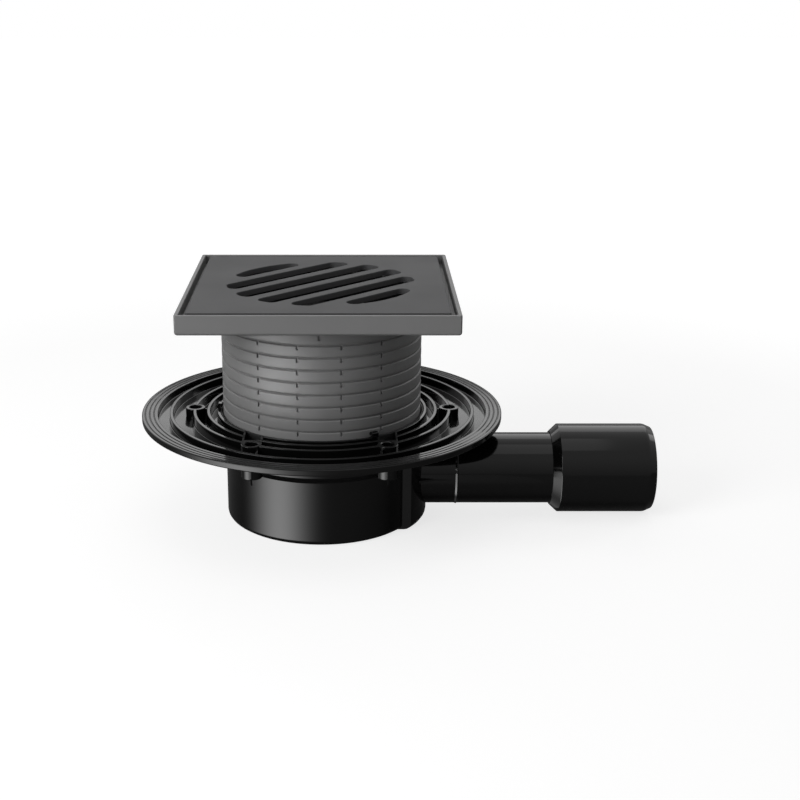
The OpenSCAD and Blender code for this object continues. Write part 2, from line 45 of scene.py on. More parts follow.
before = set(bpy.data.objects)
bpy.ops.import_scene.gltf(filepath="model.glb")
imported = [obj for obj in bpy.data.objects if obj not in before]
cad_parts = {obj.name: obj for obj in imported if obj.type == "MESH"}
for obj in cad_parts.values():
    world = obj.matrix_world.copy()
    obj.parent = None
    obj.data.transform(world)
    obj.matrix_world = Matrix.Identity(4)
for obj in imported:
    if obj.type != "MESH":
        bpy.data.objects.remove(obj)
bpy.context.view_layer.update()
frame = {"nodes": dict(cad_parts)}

# lengths in metres; points nearer than TINY count as one, and CLOSE is a short step of an outline
MM = 0.001
TINY = 1e-7
CLOSE = 1e-5

# colours and amounts for nodes: LEVEL takes the height out of a vector, FULL_SHINE is a surface's
# plain reflection, and SHADE is how much lighter and darker than its colour a finish gets
WHITE = (1, 1, 1, 1)
# painted shade: the near-black colour painted inside the riser's bore and the frame's throat
PAINTED_SHADE_BLACK = (0.004, 0.004, 0.004, 1)
LEVEL = (1, 1, 0)
FULL_SHINE = 0.5
SHADE = 0.06

SMOOTH_BELOW = math.radians(33)

# columns of a mesh round the bowl and the pipe, and where small parts stand round the flange
ROUND = 288
PIPE_ROUND = 192
SIDE_ANGLES = (0, 180)
BOSS_ANGLES = (0, 60, 120, 180, 240, 300)
HOOK_ANGLES = (60, 180, 300)

# the way the low card shines, from +X, and how far the picture is moved across and up
CARD_WAY = math.radians(41)
PICTURE_SHIFT = (0.0561, 0.001)


def srgb(text):
    """Turns hex digits, such as 6c6c6c, to linear red, green, blue and alpha."""
    part = np.array([int(text[i:i + 2], 16) for i in (0, 2, 4)]) / 255
    linear = np.where(part <= 0.04045, part / 12.92, ((part + 0.055) / 1.055) ** 2.4)
    return (*linear, 1.0)


def size(name, about, value):
    """A length a user may change, given in millimetres and kept in metres."""
    return FloatProperty(name=name, description=about, default=value * MM, unit="LENGTH")


def slope(name, about, value):
    """An angle a user may change, in radians."""
    return FloatProperty(name=name, description=about, default=value, subtype="ANGLE")


def number(name, about, value):
    """A whole number a user may change."""
    return IntProperty(name=name, description=about, default=value)


def colour(name, about, text):
    """A colour a user may change, given as hex digits."""
    return FloatVectorProperty(name=name, description=about, default=srgb(text)[:3],
                               subtype="COLOR", min=0, max=1)


# ------------------------------------------------------------------ sizes and colours


class FlangeSizes(PropertyGroup):
    """Sizes of the bowl's ribbed sealing flange and neck."""

    top: size("Rib height", "Height of the flange's ribs and lip", 61.5)
    radius: size("Radius", "Outside radius of the flange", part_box("body")[1].y / MM)
    lip: size("Lip width", "Width of the grooved lip", 8.8)
    lip_thick: size("Lip thickness", "Thickness of the lip", 3.5)
    channel: size("Channel depth", "Depth of the channels at the bosses", 5.5)
    floor_thick: size("Floor thickness", "Thickness of the flange floor", 1.8)
    rib: size("Rib thickness", "Thickness of an upright rib", 1.9)
    inner_rib: size("Inner rib", "Mean radius of the rib next to the neck", 63.5)
    boss_rib: size("Boss rib", "Mean radius of the rib that carries the bosses", 71.1)
    outer_rib: size("Outer rib", "Mean radius of the outer rib", 84)
    web: size("Web thickness", "Thickness of pocket walls, webs and fins", 1.2)
    boss: size("Boss radius", "Outside radius of a screw boss", 5.5)
    boss_hole: size("Boss hole radius", "Radius of the screw hole in a boss", 3.4)
    boss_length: size("Boss length", "Length of a screw boss", 18.5)
    neck: size("Neck radius", "Inside radius of the neck", 55.7)
    neck_wall: size("Neck wall", "Wall of the neck", 2.4)
    fall: slope("Floor fall", "Fall of the flange floor to the neck", math.radians(4))


class BowlSizes(PropertyGroup):
    """Sizes of the bowl, its outlet chamber and the outlet pipe."""

    radius: size("Radius", "Outside radius of the bowl", 54.1)
    wall: size("Wall", "Wall of the bowl and the chamber", 2.5)
    round: size("Edge radius", "Rounding of the bowl's lower edge", 3)
    flare: size("Flare height", "Height at which the bowl flares out to the neck", 36.4)
    bulge: size("Chamber bulge", "How far the outlet chamber bulges beyond the bowl", 4.8)
    chamber: size("Chamber half width", "Half the width of the outlet chamber", 30.6)
    shelf: size("Shelf height", "Height of the shelf that carries the insert", 34)
    pipe: size("Pipe radius", "Outside radius of the outlet pipe", 20)
    pipe_wall: size("Pipe wall", "Wall of the outlet pipe", 2)
    pipe_height: size("Pipe height", "Height of the outlet's axis", 25.2)
    pipe_end: size("Pipe end", "End of the outlet pipe, from the riser's axis",
                   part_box("body")[1].x / MM)
    bead: size("Bead place", "Place of the moulded bead round the pipe", 75.6)


class RiserSizes(PropertyGroup):
    """Sizes of the height-adjustable riser."""

    radius: size("Radius", "Radius at a band's crest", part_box("riser")[1].x / MM)
    wall: size("Wall", "Wall under a cutting line", 2.4)
    pitch: size("Band pitch", "Height of one band between two cutting lines", 6.75)
    first: size("First line", "Distance from the top to the first cutting line", 6.35)
    bulge: size("Bulge", "How far a band bulges beyond its own edges", 0.08)
    groove: size("Groove depth", "Depth of a cutting line below the band's edges", 0.62)
    groove_over: size("Groove above", "Height of a cutting line's slope that faces down", 1.5)
    groove_under: size("Groove below", "Height of a cutting line's slope that faces up", 0.5)
    notch: size("Notch width", "Width of a notch", 1.2)
    notch_deep: size("Notch depth", "Depth of a notch from a band's crest", 1.0)
    places: number("Places", "Places for notches round the riser", 15)
    notches: number("Notches", "Notches on the front, and on the back", 4)


class FrameSizes(PropertyGroup):
    """Sizes of the square frame and of the grate that lies in it."""

    wall: size("Wall", "Thickness of the frame's upstand", 2)
    tray: size("Tray", "Thickness of the tray under the grate", 2)
    round: size("Lower rounding", "Rounding of the frame's lower edges", 1.6)
    ease: size("Eased edge", "Radius of the frame's upper edges", 0.3)
    throat: size("Throat", "Radius of the opening in the tray", 52.5)
    plate: size("Grate plate", "Thickness of the grate's slotted plate", 3)
    skirt: size("Grate skirt", "Thickness of the skirt round the grate", 2.4)
    slot: size("Slot width", "Width of a slot", 11.6)
    slot_pitch: size("Slot pitch", "Distance from one slot to the next", 18.2)
    slot_circle: size("Slot circle", "Radius of the circle that the slots fill", 51.5)
    slot_corner: size("Slot corner", "Corner radius at the ends of a slot", 4.1)
    slots: number("Slots", "Number of slots", 6)
    slot_angle: slope("Slot angle", "Direction of the slots", math.radians(45))


class FinishColours(PropertyGroup):
    """Colours of the finishes."""

    body: colour("Body", "Black polypropylene of the bowl and flange", "080808")
    riser: colour("Riser", "Grey ABS of the riser", "6f6f6f")
    frame: colour("Frame", "Grey ABS of the frame", "6e6e6e")
    grate: colour("Grate", "Graphite powder coat of the grate", "3f3f40")
    rubber: colour("Rubber", "Black rubber of the seals", "151515")
    floor: colour("Floor", "Pale studio floor", "a0a0a0")


# ------------------------------------------------------------------ shapes


def eased(corners, steps=4):
    """A profile of (across, up, radius) corners, with the radius in millimetres and each corner
    turned to an arc. The arc starts radius * tan(turn / 2) before the corner and turns evenly
    from one side to the next."""
    data = np.array(corners, float)
    point, radius = data[:, :2], data[:, 2:] * MM
    before = point - np.roll(point, 1, 0)
    after = np.roll(before, -1, 0)
    before /= np.linalg.norm(before, axis=1, keepdims=True)
    after /= np.linalg.norm(after, axis=1, keepdims=True)
    cross = before[:, 0] * after[:, 1] - before[:, 1] * after[:, 0]
    turn = np.arctan2(cross, (before * after).sum(1))[:, None]
    left = np.stack([-before[:, 1], before[:, 0]], 1) * np.sign(turn)
    start = point - before * radius * np.tan(np.abs(turn) / 2)
    centre = start + left * radius
    angle = np.arctan2(-left[:, 1:], -left[:, :1]) + turn * np.linspace(0, 1, steps + 1)
    arcs = centre[:, None] + radius[:, None] * np.stack([np.cos(angle), np.sin(angle)], 2)
    line = np.where(radius[:, None] > 0, arcs, point[:, None]).reshape(-1, 2)
    step = np.linalg.norm(np.diff(line, axis=0), axis=1)
    return line[np.concatenate([[True], step > TINY])]


def oblong(left, right, low, high):
    """The four corners of an oblong, anticlockwise."""
    return [(left, low), (right, low), (right, high), (left, high)]


def turned(points, angle):
    """Points turned about Z by angle, in radians."""
    c, s = np.cos(angle), np.sin(angle)
    return points @ np.array([[c, s, 0], [-s, c, 0], [0, 0, 1]])


def made(name, points, faces):
    """An object from points and faces, with doubles merged and faces turned outwards."""
    mesh = bpy.data.meshes.new(name)
    mesh.from_pydata(points.reshape(-1, 3), [], faces)
    work = bmesh.new()
    work.from_mesh(mesh)
    bmesh.ops.remove_doubles(work, verts=work.verts, dist=TINY)
    bmesh.ops.recalc_face_normals(work, faces=work.faces)
    work.to_mesh(mesh)
    work.free()
    piece = bpy.data.objects.new(name, mesh)
    bpy.context.scene.collection.objects.link(piece)
    return piece


def woven(name, grid, closed=True):
    """A surface from a grid of points whose rows join round, last to first. Its columns join
    round too if closed, and otherwise end at poles."""
    rows, cols = grid.shape[:2]
    i = np.arange(rows)[:, None]
    j = np.arange(cols if closed else cols - 1)[None]
    near, far = i * cols, (i + 1) % rows * cols
    faces = np.stack([near + j, far + j, far + (j + 1) % cols, near + (j + 1) % cols], 2)
    return made(name, grid, faces.reshape(-1, 4))


def revolved(name, profile, count, closed=True, along_x=None):
    """A profile of (radius, height) turned about Z: each point goes to radius * cos, radius * sin,
    height. With along_x, the axis is level, at that height, and the heights run along X."""
    angle = np.linspace(0, 2 * np.pi, count, endpoint=False)[:, None]
    radius, height = profile[None, :, 0], profile[None, :, 1]
    x, y = radius * np.cos(angle), radius * np.sin(angle)
    z = np.broadcast_to(height, x.shape)
    grid = np.stack([x, y, z] if along_x is None else [z, y, x + along_x], 2)
    return woven(name, grid, closed)


def rod(name, radius, low, high, count, edge=0, **more):
    """A solid rod from low to high, with its lower edge eased."""
    profile = eased([(0, low, 0), (radius, low, edge), (radius, high, 0), (0, high, 0)])
    return revolved(name, profile, count, closed=False, **more)


def square_path(half, corner, straight=24, bend=6):
    """Points round a square with round corners: each side is a line from one corner's arc to the
    next, and each arc turns a quarter about a centre that stands corner inside the square."""
    u = np.linspace(-1, 1, straight)[:, None]
    a = np.linspace(0, np.pi / 2, bend + 2)[1:-1]
    arc = np.stack([np.cos(a), np.sin(a)], 1)
    inner = half - corner
    side = np.concatenate([np.concatenate([np.full_like(u, half), u * inner], 1),
                           inner + corner * arc])
    turns = [turned(np.pad(side, ((0, 0), (0, 1))), k * np.pi / 2)[:, :2] for k in range(4)]
    return np.concatenate(turns)


def squared(name, profile, corners, circles, closed=True):
    """A profile of (half side, height) carried round a square. Each point has its own corner
    radius, and where circles is true it runs round a circle of that radius instead."""
    rings = []
    for (half, height), corner, circle in zip(profile, corners, circles):
        ring = square_path(half, min(corner, half * 0.9))
        if circle:
            lead = square_path(1, 0.02)
            ring = half * lead / np.linalg.norm(lead, axis=1, keepdims=True)
        rings.append(np.concatenate([ring, np.full((len(ring), 1), height)], 1))
    return woven(name, np.stack(rings, 1), closed)


def pushed(name, outline, low, high, flare=0.0, steps=5):
    """A closed outline pushed from low to high. With flare, its mouth widens under high along a
    quarter circle of that radius, and it runs on past high."""
    ahead = np.roll(outline, -1, 0) - np.roll(outline, 1, 0)
    normal = np.stack([ahead[:, 1], -ahead[:, 0]], 1)
    normal /= np.linalg.norm(normal, axis=1, keepdims=True)
    t = np.linspace(0, np.pi / 2, steps + 1) if flare else np.zeros(1)
    out = np.concatenate([[0], flare * (1 - np.cos(t)), [flare]])
    up = np.concatenate([[low], high - flare + flare * np.sin(t), [high + flare]])
    ring = outline[None] + normal[None] * out[:, None, None]
    height = np.broadcast_to(up[:, None, None], (*ring.shape[:2], 1))
    points = np.concatenate([ring, height], 2)
    rows, cols = points.shape[:2]
    i, j = np.arange(rows - 1)[:, None] * cols, np.arange(cols)[None]
    k = (j + 1) % cols
    sides = np.stack([i + j, i + k, i + cols + k, i + cols + j], 2).reshape(-1, 4)
    caps = [list(range(cols)), list(range((rows - 1) * cols, rows * cols))]
    return made(name, points, sides.tolist() + caps)


def softened(piece, offset, segments=2):
    """Bevels every edge of a small solid by offset."""
    work = bmesh.new()
    work.from_mesh(piece.data)
    bmesh.ops.bevel(work, geom=work.edges[:], offset=offset, segments=segments, profile=0.5,
                    affect="EDGES", clamp_overlap=True)
    work.to_mesh(piece.data)
    work.free()
    return piece


def plate(name, outline, thick, across=0.0, ease=0.25 * MM):
    """A plate that stands in the plane of X and Z: its outline of (x, z) points, pushed half its
    thickness to each side of y = across, with its edges eased."""
    flat = np.array(outline, float)
    count = len(flat)
    both = np.repeat(flat[None], 2, 0)
    y = across + thick * np.array([-0.5, 0.5])[:, None, None] * np.ones((2, count, 1))
    points = np.concatenate([both[:, :, :1], y, both[:, :, 1:]], 2)
    j = np.arange(count)
    k = (j + 1) % count
    sides = np.stack([j, k, count + k, count + j], 1).tolist()
    piece = made(name, points, sides + [list(range(count)), list(range(count, 2 * count))])
    return softened(piece, ease) if ease else piece


def cross_plate(name, outline, thick, x, ease=0.25 * MM):
    """A plate that stands across the X axis at x, drawn as (y, z) points."""
    piece = plate(name, outline, thick, -x, ease)
    piece.data.transform(Matrix.Rotation(math.pi / 2, 4, "Z"))
    return piece


def coordinates(mesh):
    """The places of a mesh's vertices as rows of an array."""
    flat = np.empty(len(mesh.vertices) * 3, np.float32)
    mesh.vertices.foreach_get("co", flat)
    return flat.reshape(-1, 3).astype(float)


def repeated(piece, places):
    """One mesh from a piece's faces at several places, each an array of its points."""
    count = len(piece.data.vertices)
    faces = [[v + k * count for v in f.vertices]
             for k in range(len(places)) for f in piece.data.polygons]
    whole = made(piece.name + "_set", np.concatenate(places), faces)
    bpy.data.objects.remove(piece)
    return whole


def copied(piece, angles):
    """The piece repeated at each angle about Z, in degrees, as one mesh."""
    points = coordinates(piece.data)
    return repeated(piece, [turned(points, math.radians(a)) for a in angles])


def quartered(piece):
    """A piece that stands at positive X and Y, repeated in all four quarters by changing the
    signs of X and Y."""
    points = coordinates(piece.data)
    return repeated(piece, [points * (x, y, 1) for x in (1, -1) for y in (1, -1)])


def combined(base, tools, operation):
    """Joins each tool to base, cuts it from base or keeps what both share."""
    for tool in tools:
        step = base.modifiers.new("combine", "BOOLEAN")
        step.operation = operation
        step.solver = "MANIFOLD"
        step.object = tool
        graph = bpy.context.evaluated_depsgraph_get()
        mesh = bpy.data.meshes.new_from_object(base.evaluated_get(graph))
        base.modifiers.clear()
        if not mesh.polygons:
            raise RuntimeError(f"{tool.name} left nothing of {base.name}")
        base.data = mesh
        bpy.data.objects.remove(tool)
    return base


def finished(piece, body, slot, material, *nodes):
    """Smooths a piece up to its edges, gives it its finish, hangs it under its body's empty and
    hides the CAD parts that it stands in for.
    """
    mesh = piece.data
    mesh.name = piece.name
    mesh.shade_smooth()
    mesh.set_sharp_from_angle(angle=SMOOTH_BELOW)
    weighted = piece.modifiers.new("even_faces", "WEIGHTED_NORMAL")
    weighted.keep_sharp = True
    mesh.materials.clear()
    mesh.materials.append(material)
    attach(piece, body)
    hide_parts(*nodes)
    return piece


# ------------------------------------------------------------------ finishes


def node(tree, kind, inputs=None, **settings):
    """Adds a shader node to a tree, with its settings, and with values or links on its inputs."""
    made_node = tree.nodes.new("ShaderNode" + kind)
    for key, value in settings.items():
        setattr(made_node, key, value)
    for key, value in (inputs or {}).items():
        if isinstance(value, bpy.types.NodeSocket):
            tree.links.new(value, made_node.inputs[key])
        else:
            made_node.inputs[key].default_value = value
    return made_node


def worked(tree, operation, a, b):
    """What a maths node gives for a and b."""
    return node(tree, "Math", {0: a, 1: b}, operation=operation).outputs[0]


def vector_worked(tree, operation, *vectors):
    """The outputs of a vector maths node."""
    return node(tree, "VectorMath", dict(enumerate(vectors)), operation=operation).outputs


def split(tree, vector):
    """The X, Y and Z of a vector."""
    return node(tree, "SeparateXYZ", {"Vector": vector}).outputs


def carried(tree, value, low, high, to_low=0.0, to_high=1.0):
    """The value carried over from between low and high to between to_low and to_high."""
    return node(tree, "MapRange", {"Value": value, "From Min": low, "From Max": high,
                                   "To Min": to_low, "To Max": to_high}).outputs["Result"]


def mixed(tree, share, a, b):
    """The colour a where the share is nought, and b where it is one."""
    return node(tree, "Mix", {"Factor": share, "A": a, "B": b},
                data_type="RGBA").outputs["Result"]


def scaled(rgb, factor):
    """A colour made lighter or darker by a factor."""
    return (*[c * factor for c in rgb], 1)


def glowing(tree, strength):
    """A white glow."""
    return node(tree, "Emission", {"Color": WHITE, "Strength": strength}).outputs[0]


def output(tree, shader, *more, kind="Material"):
    """Ends a tree with its shader, or with the sum of two."""
    for other in more:
        shader = node(tree, "AddShader", {0: shader, 1: other}).outputs[0]
    node(tree, "Output" + kind, {"Surface": shader})


def new_material(name):
    """An empty node material, its tree and its Object coordinates."""
    material = bpy.data.materials.new(name)
    material.use_nodes = True
    tree = material.node_tree
    tree.nodes.clear()
    return material, tree, node(tree, "TexCoord").outputs["Object"]


def painted_shade_inside(tree, place, tint, radius, height):
    """Painted shade: the tint and the reflections, both near nought where a point is nearer the
    axis than radius and below height, where little light would reach."""
    edge = 0.3 * MM
    flat = vector_worked(tree, "MULTIPLY", place, LEVEL)[0]
    out = vector_worked(tree, "LENGTH", flat)["Value"]
    lit = worked(tree, "MAXIMUM", carried(tree, out, radius - edge, radius),
                 carried(tree, split(tree, place)["Z"], height - edge, height))
    return mixed(tree, lit, PAINTED_SHADE_BLACK, tint), worked(tree, "MULTIPLY", lit, FULL_SHINE)


def moulded(name, rgb, rough, grain, flow, straight_on=1.0, ior=1.49, inside_shade=None):
    """A moulded or coated surface. Rough holds its roughness and how far that spreads. Grain and
    flow are fine grain and slow waves, each with its real size and depth in millimetres. A lower
    straight_on weakens reflections seen straight on, and keeps those at a glancing angle. Given
    the inside's radius and height, painted shade turns the surface black, with no reflections,
    nearer the axis and below."""
    material, tree, place = new_material(name)
    (grain_size, grain_depth), (flow_size, flow_depth) = grain, flow
    fine, slow = (node(tree, "TexNoise", {"Vector": place, "Scale": 1 / (size_mm * MM),
                                          "Detail": detail}).outputs["Fac"]
                  for size_mm, detail in ((grain_size, 2.0), (flow_size, 1.0)))
    tint, shine = mixed(tree, slow, scaled(rgb, 1 - SHADE), scaled(rgb, 1 + SHADE)), FULL_SHINE
    # painted shade: black tint and no reflections inside the bore or throat
    if inside_shade:
        tint, shine = painted_shade_inside(tree, place, tint, *inside_shade)
    middle, spread = rough
    worn = carried(tree, slow, 0.3, 0.7, middle - spread, middle + spread)
    waves = node(tree, "Bump", {"Height": slow, "Distance": flow_depth * MM, "Strength": 1.0})
    skin = node(tree, "Bump", {"Height": fine, "Distance": grain_depth * MM, "Strength": 1.0,
                               "Normal": waves.outputs["Normal"]})
    shader = node(tree, "BsdfPrincipled",
                  {"Base Color": tint, "Roughness": worn, "Normal": skin.outputs["Normal"],
                   "IOR": ior, "Specular IOR Level": shine,
                   "Specular Tint": (straight_on, straight_on, straight_on, 1)})
    output(tree, shader.outputs["BSDF"])
    return material


def gloss_polypropylene(colours):
    """Black polypropylene from a polished mould. Its near-black body shows only reflections."""
    return moulded("gloss_black_polypropylene", colours.body, rough=(0.1, 0.015),
                   grain=(0.9, 0.001), flow=(22, 0.006), straight_on=0.33, ior=1.55)


def satin_abs(colours):
    """Grey ABS from a lightly blasted mould. It gives a soft sheen with a fine grain. Its bore
    below the top has painted shade: it is painted near black, as it looks from above."""
    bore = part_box("riser")[1].x - 3 * MM
    return moulded("satin_grey_abs", colours.riser, rough=(0.47, 0.03), grain=(0.7, 0.012),
                   flow=(18, 0.02), ior=1.55, inside_shade=(bore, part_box("riser")[1].z))


def matt_abs(colours):
    """Grey ABS from an etched mould. It is even and matt, with faint grain. Its throat below the
    tray has painted shade: it is painted near black, as it looks through the slots."""
    throat = bpy.context.scene.gully_frame.throat + 0.3 * MM
    return moulded("matt_grey_abs", colours.frame, rough=(0.55, 0.03), grain=(0.7, 0.008),
                   flow=(25, 0.01), inside_shade=(throat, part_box("grate")[0].z))


def powder_coat(colours):
    """Graphite polyester powder over steel. It is matt, with a slight orange peel."""
    return moulded("graphite_powder_coat", colours.grate, rough=(0.65, 0.03),
                   grain=(1.1, 0.012), flow=(30, 0.01), ior=1.35)


def seal_rubber(colours):
    """Black EPDM rubber, moulded. It is dull and soft at the edges."""
    return moulded("black_epdm_rubber", colours.rubber, rough=(0.62, 0.04), grain=(0.8, 0.01),
                   flow=(12, 0.01), straight_on=0.5)


def insert_polypropylene(colours):
    """Black polypropylene from a matt mould, for the lift-out insert."""
    return moulded("matt_black_polypropylene", colours.body, rough=(0.4, 0.03),
                   grain=(0.8, 0.006), flow=(20, 0.01), straight_on=0.35)


def finish(maker):
    """The material that a maker function gives, made once."""
    found = bpy.data.materials.get(FINISHES.get(maker, ""))
    if found is None:
        found = maker(bpy.context.scene.gully_colours)
        FINISHES[maker] = found.name
    return found


FINISHES = {}


# ------------------------------------------------------------------ operators


class GULLY_OT_body(Operator):
    """Build the bowl, ribbed flange, outlet chamber and outlet pipe as one moulding"""

    bl_idname = "gully.body"
    bl_label = "Body"

    def floor(self, r):
        """Height of the flange floor at radius r: it falls evenly towards the neck."""
        f = self.f
        return f.top - f.channel + (r - f.boss_rib) * math.tan(f.fall)

    def rib(self, r):
        """Profile corners of one upright rib, from its outer foot to its inner foot."""
        f = self.f
        out, back, ease = r + f.rib / 2, r - f.rib / 2, 0.4
        return [(out, self.floor(out), ease), (out, f.top, ease),
                (back, f.top, ease), (back, self.floor(back), ease)]

    def lip_grooves(self):
        """Three fine V grooves across the lip, outermost first."""
        f = self.f
        half, deep, pitch = 0.45 * MM, 0.5 * MM, f.lip / 3.7
        middles = f.radius - (np.arange(3) + 0.8) * pitch
        return [corner for r in middles
                for corner in ((r + half, f.top, 0.15), (r, f.top - deep, 0.1),
                               (r - half, f.top, 0.15))]

    def outline(self):
        """The outside of the body, turned about the neck's axis, from the bowl's middle up."""
        f, b = self.f, self.b
        neck_out = f.neck + f.neck_wall
        lip_in = f.radius - f.lip
        dish = lip_in + 1.5 * MM
        under = f.top - f.lip_thick
        return eased([
            (0, 0, 0), (b.radius, 0, b.round / MM), (b.radius, b.flare, 0.6),
            (neck_out, b.flare + neck_out - b.radius, 0.6),
            (neck_out, self.floor(neck_out) - f.floor_thick, 1),
            (dish, self.floor(dish) - f.floor_thick, 0.6), (dish, under, 0.4),
            (f.radius, under, 0.7), (f.radius, f.top, 0.6), *self.lip_grooves(),
            (lip_in, f.top, 0.3), (lip_in, self.floor(lip_in), 0.6),
            *self.rib(f.outer_rib), *self.rib(f.boss_rib), *self.rib(f.inner_rib),
            (self.rim_out, self.floor(self.rim_out), 0.3), (self.rim_out, f.top, 0.3),
            (self.rebate, f.top, 0.25), (self.rebate, self.seat, 0), (0, self.seat, 0)])

    def inside(self):
        """The space inside the bowl and the neck, from the bowl's floor up."""
        f, b = self.f, self.b
        bowl_in = b.radius - b.wall
        flare = b.flare + b.wall * math.tan(math.pi / 8)
        return eased([(0, b.wall, 0), (bowl_in, b.wall, 1.5), (bowl_in, flare, 0.5),
                      (f.neck, flare + f.neck - bowl_in, 0.5),
                      (f.neck, self.seat + 1 * MM, 0), (0, self.seat + 1 * MM, 0)])

    def chamber(self, radius, low, high, half, edge):
        """The bowl's round set further along X, and kept only towards the outlet."""
        b = self.b
        drum = rod("chamber", radius, low, high, ROUND, edge)
        drum.data.transform(Matrix.Translation((b.bulge, 0, 0)))
        box = plate("chamber_box", oblong(b.radius / 2, 2 * b.radius, low - 1 * MM, high + 1 * MM),
                    2 * half, ease=0.8 * MM)
        return combined(drum, [box], "INTERSECT")

    def pipe(self):
        """The outlet pipe with its moulded bead, before it is bored."""
        b = self.b
        root, bead, crest = b.radius - 6 * MM, b.bead, b.pipe + 0.4 * MM
        profile = eased([
            (0, root, 0), (b.pipe, root, 0), (b.pipe, bead - 1.1 * MM, 0.1),
            (crest, bead - 0.15 * MM, 0.12), (crest, bead + 0.15 * MM, 0.1),
            (b.pipe, bead + 0.45 * MM, 0.1), (b.pipe, b.pipe_end, 0.4), (0, b.pipe_end, 0)])
        return revolved("pipe", profile, PIPE_ROUND, closed=False, along_x=b.pipe_height)

    def pipe_bore(self):
        """The room in the outlet pipe."""
        b = self.b
        return rod("pipe_bore", b.pipe - b.pipe_wall, b.radius + 0.5 * MM, b.pipe_end + 1 * MM,
                   PIPE_ROUND, along_x=b.pipe_height)

    def pipe_webs(self):
        """A level web on each side of the pipe's root, and one upright below it."""
        f, b = self.f, self.b
        end = b.radius + b.bulge
        low = b.pipe_height - b.pipe
        root, tip, ease = end - 1 * MM, end + 3.6 * MM, 0.15 * MM
        below = plate("web_below", [(root, low - 1.6 * MM), (tip, low + 0.3 * MM),
                                    (tip, low + 1 * MM), (root, low + 1 * MM)], f.web, ease=ease)
        sides = []
        for side in (-1, 1):
            outline = [(end + x * MM, side * (b.pipe + y * MM))
                       for x, y in ((-5, -2), (-5, 3.2), (-3, 2.6), (5, -0.2), (5, -2))]
            web = plate("web_side", outline, f.web, ease=ease)
            web.data.transform(Matrix.Translation((0, 0, b.pipe_height))
                               @ Matrix.Rotation(-math.pi / 2, 4, "X"))
            sides.append(web)
        return [below, *sides]

    def pockets(self):
        """Room between each pair of pocket walls, through the inner rib and the neck's rim."""
        f = self.f
        room = oblong(f.boss_rib / 2, self.pocket_end + 0.3 * MM, self.seat, f.top + 2 * MM)
        return quartered(cross_plate("pocket", room, 2 * self.pocket, self.boss_x, ease=0))

    def pocket_walls(self):
        """Two walls from the neck to a boss, along Y, and the solid block next to the boss."""
        f = self.f
        foot = self.floor(self.rebate) - f.floor_thick / 2
        near, far = self.pocket - f.web / 2, self.pocket + f.web / 2
        x = self.boss_x + np.array([-far, -near, -near, near, near, far, far, -far])
        end, last = self.pocket_end, self.boss_y
        starts = np.sqrt((self.rebate + 0.4 * MM) ** 2 - x[[0, 4]] ** 2)
        y = np.array([starts[0], starts[0], end, end, starts[1], starts[1], last, last])
        outline = np.stack([x, y], 1)[::-1]
        return quartered(softened(pushed("pocket_walls", outline, foot, f.top - 0.3 * MM),
                                  0.25 * MM))

    def webs(self):
        """Webs on the bosses: outwards at the pockets, and inwards at the two sides."""
        f = self.f
        low = self.floor(f.boss_rib) - 1 * MM
        x = self.boss_x - 0.6 * f.boss
        end = math.sqrt(f.outer_rib ** 2 - x ** 2)
        outer = cross_plate("web", [(self.boss_y, low), (end, self.floor(f.outer_rib) - 0.5 * MM),
                                    (end, f.top - 2.6 * MM), (self.boss_y, f.top - 0.8 * MM)],
                            f.web, x)
        inner = plate("side_web", oblong(f.inner_rib, f.boss_rib, low, f.top - 1 * MM), f.web)
        return [quartered(outer), copied(inner, SIDE_ANGLES)]

    def at_bosses(self, name, profile):
        """A turned piece at each boss."""
        one = revolved(name, profile, 64, closed=False)
        one.data.transform(Matrix.Translation((self.f.boss_rib, 0, 0)))
        return copied(one, BOSS_ANGLES)

    def bosses(self):
        """Solid screw bosses, still without their holes."""
        f = self.f
        low = f.top - f.boss_length
        return self.at_bosses("boss", eased([(0, low, 0), (f.boss, low, 0.5),
                                             (f.boss, f.top, 0.4), (0, f.top, 0)]))

    def boss_holes(self):
        """Screw holes, with a small lead-in at the mouth."""
        f = self.f
        low, over = f.top - f.boss_length + 2.5 * MM, f.top + 1 * MM
        r, lead = f.boss_hole, 0.4 * MM
        return self.at_bosses("hole", eased([
            (0, low, 0), (r, low, 0), (r, f.top - lead, 0.2), (r + lead, f.top, 0),
            (r + lead, over, 0), (0, over, 0)]))

    def fin(self, r):
        """Outline of a fin under a boss whose centre is r away, with its tip below the boss."""
        f = self.f
        low, top = f.top - f.boss_length, self.floor(f.boss_rib)
        out = r + f.boss + 0.6 * MM
        return [(r, low + 2 * MM), (r + 1 * MM, low), (r + 2.5 * MM, low - 4 * MM),
                (r + f.boss - 1 * MM, low - 3 * MM), (out, low + 1 * MM), (out, top),
                (r, top - 0.5 * MM)]

    def fins(self):
        """A fin down the outer side of each boss."""
        f = self.f
        side = plate("side_fin", self.fin(f.boss_rib), f.web)
        other = cross_plate("fin", self.fin(self.boss_y), f.web, self.boss_x)
        return [copied(side, SIDE_ANGLES), quartered(other)]

    def hooks(self):
        """Hooks that stand on the neck's rim and reach over the seal."""
        f = self.f
        inner, out, back = f.neck, self.rim_out, self.rebate + 0.3 * MM
        foot, under, lift = self.floor(out) - 1 * MM, f.top + 0.6 * MM, f.top + 2.6 * MM
        hook = plate("hook", [(back, foot), (out, foot), (out, lift - 0.6 * MM),
                              (out - 0.6 * MM, lift), (inner + 0.5 * MM, lift),
                              (inner, lift - 0.8 * MM), (inner, under), (back, under)],
                     4 * MM, ease=0.2 * MM)
        return copied(hook, HOOK_ANGLES)

    def shelf(self):
        """The ledge round the bowl that the insert sits in."""
        b = self.b
        out, inner = b.radius - b.wall + 1 * MM, b.radius - b.wall - 4.6 * MM
        low, high = b.shelf - self.ledge, b.shelf
        return revolved("shelf", eased([(inner, low, 0.3), (out, low, 0), (out, high, 0),
                                        (inner, high, 0.3)]), ROUND)

